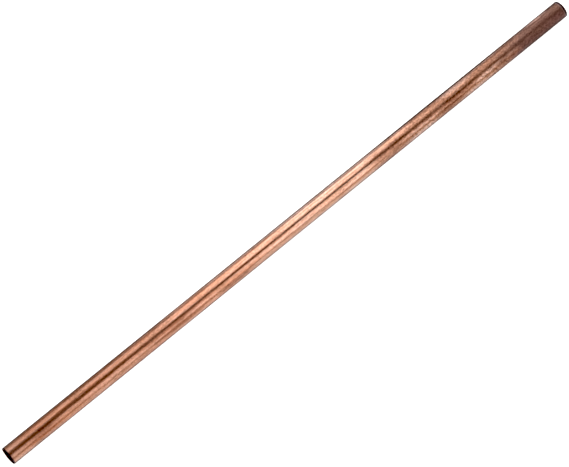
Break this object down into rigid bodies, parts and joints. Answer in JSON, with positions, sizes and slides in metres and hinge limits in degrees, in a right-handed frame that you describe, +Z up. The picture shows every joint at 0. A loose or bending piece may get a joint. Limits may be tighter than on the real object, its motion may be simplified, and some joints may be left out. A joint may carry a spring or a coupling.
{
  "type": "copper pipe",
  "caption": "Straight round copper water pipe with an open bore; square-cut ends with rolled outer edges and deburred mouths slide into solder fittings.",
  "frame": {"origin": "on the floor under the middle of the pipe", "axes": "+X along the pipe's axis towards the darker end, +Z up, +Y across the floor"},
  "size_m": [0.6096, 0.0158, 0.0159],
  "materials": {
    "drawn_copper": "bright hard-drawn copper with drawing lines, light brown tarnish and a darker end"
  },
  "bodies": {
    "root": {"copper_pipe": "drawn_copper"}
  },
  "joints": []
}
